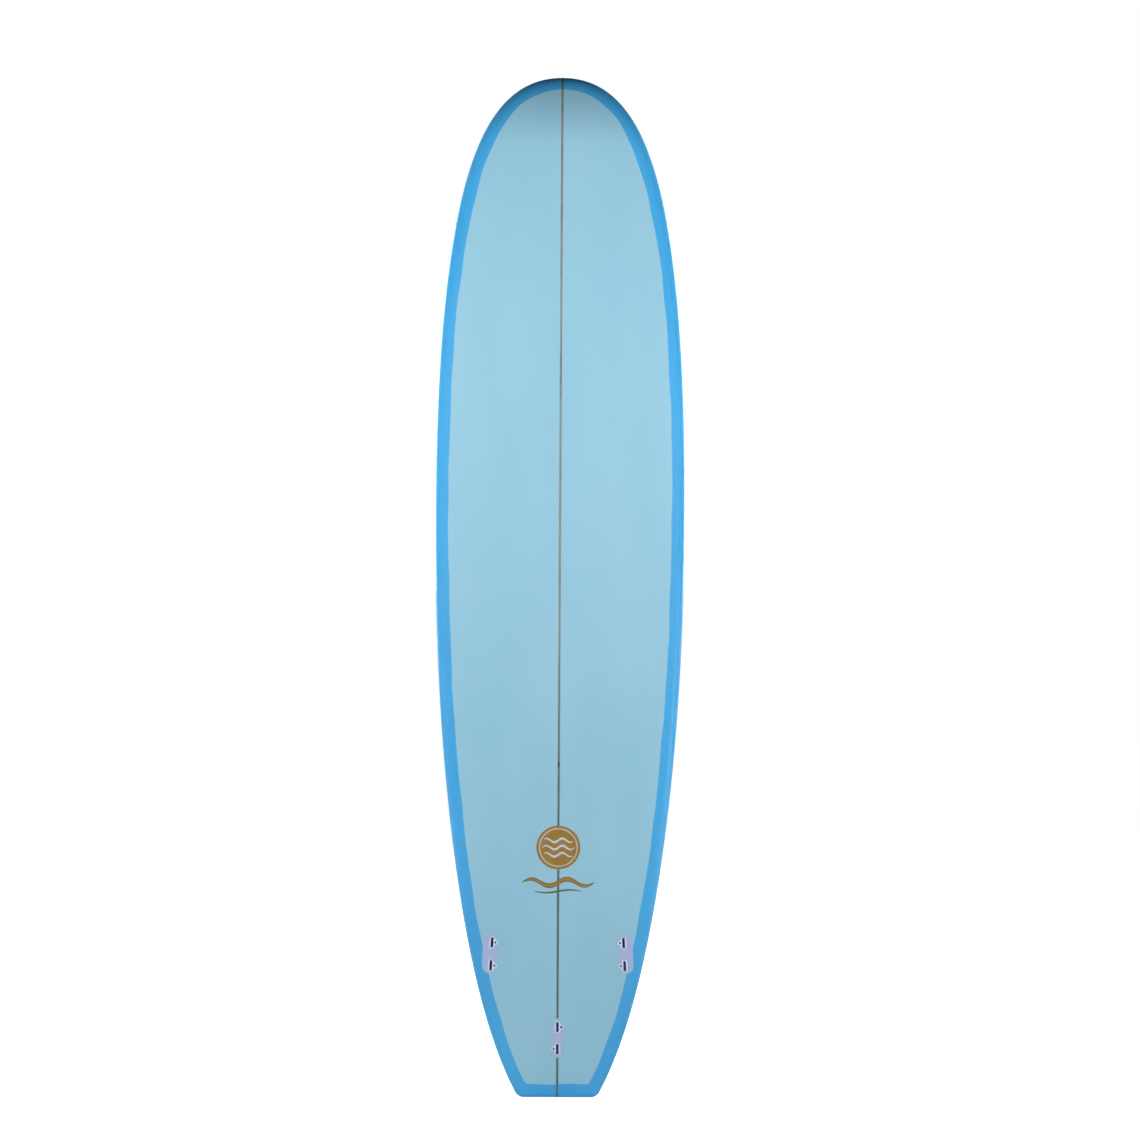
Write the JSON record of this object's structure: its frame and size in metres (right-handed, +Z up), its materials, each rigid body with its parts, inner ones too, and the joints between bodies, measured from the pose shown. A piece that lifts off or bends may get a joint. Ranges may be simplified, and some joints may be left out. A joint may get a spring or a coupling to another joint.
{
  "type": "surfboard",
  "caption": "Round-nosed, square-tailed surfboard in tinted glass skin over foam with a wood stringer, fin plugs and a leash plug; no fins.",
  "frame": {"origin": "under the middle of the board's box, at the level of its tail end", "axes": "+Z up the board from tail to nose, -Y out of the bottom, +Y out of the deck, +X to the right of someone who looks at the bottom with the nose up"},
  "size_m": [0.592, 0.1446, 2.4384],
  "materials": {
    "laminate_panel": "light blue tinted resin over glass cloth, polished gloss",
    "laminate_lap": "double tinted resin over glass cloth, polished gloss",
    "foam": "white closed-cell foam blank, shaped and sanded",
    "stringer_wood": "plain basswood strip, unvarnished",
    "gold_ink": "gold print under gloss resin",
    "resin_patch": "lilac-grey filled resin, polished flush",
    "plug_plastic": "pale blue-white moulded plastic",
    "screw_steel": "dark stainless set screw",
    "leash_plastic": "white moulded plastic",
    "stainless": "bare stainless bar"
  },
  "bodies": {
    "board": {"bottom_laminate": "laminate_panel", "deck_laminate": "laminate_lap", "foam_core_left": "foam", "foam_core_right": "foam", "stringer": "stringer_wood", "badge_decal": "gold_ink", "wave_decal": "gold_ink", "left_plug_patch": "resin_patch", "right_plug_patch": "resin_patch", "centre_plug_patch": "resin_patch", "left_front_plug": "plug_plastic", "left_rear_plug": "plug_plastic", "right_front_plug": "plug_plastic", "right_rear_plug": "plug_plastic", "centre_front_plug": "plug_plastic", "centre_rear_plug": "plug_plastic", "leash_cup": "leash_plastic", "leash_bar": "stainless"},
    "left_front_clamp": {"left_front_screw": "screw_steel"},
    "left_rear_clamp": {"left_rear_screw": "screw_steel"},
    "right_front_clamp": {"right_front_screw": "screw_steel"},
    "right_rear_clamp": {"right_rear_screw": "screw_steel"},
    "centre_front_clamp": {"centre_front_screw": "screw_steel"},
    "centre_rear_clamp": {"centre_rear_screw": "screw_steel"}
  },
  "joints": [
    {"name": "left_front_screw_travel", "type": "slide", "parent": "board", "child": "left_front_clamp", "axis": [-0.49, 0.8668, 0.0921], "range_m": [0, 0.0035]},
    {"name": "left_rear_screw_travel", "type": "slide", "parent": "board", "child": "left_rear_clamp", "axis": [-0.4899, 0.8663, 0.0978], "range_m": [0, 0.0035]},
    {"name": "right_front_screw_travel", "type": "slide", "parent": "board", "child": "right_front_clamp", "axis": [0.49, 0.8668, 0.0921], "range_m": [0, 0.0035]},
    {"name": "right_rear_screw_travel", "type": "slide", "parent": "board", "child": "right_rear_clamp", "axis": [0.4899, 0.8663, 0.0978], "range_m": [0, 0.0035]},
    {"name": "centre_front_screw_travel", "type": "slide", "parent": "board", "child": "centre_front_clamp", "axis": [-0.5, 0.8617, 0.086], "range_m": [0, 0.0035]},
    {"name": "centre_rear_screw_travel", "type": "slide", "parent": "board", "child": "centre_rear_clamp", "axis": [0.5, 0.8612, 0.0918], "range_m": [0, 0.0035]}
  ]
}
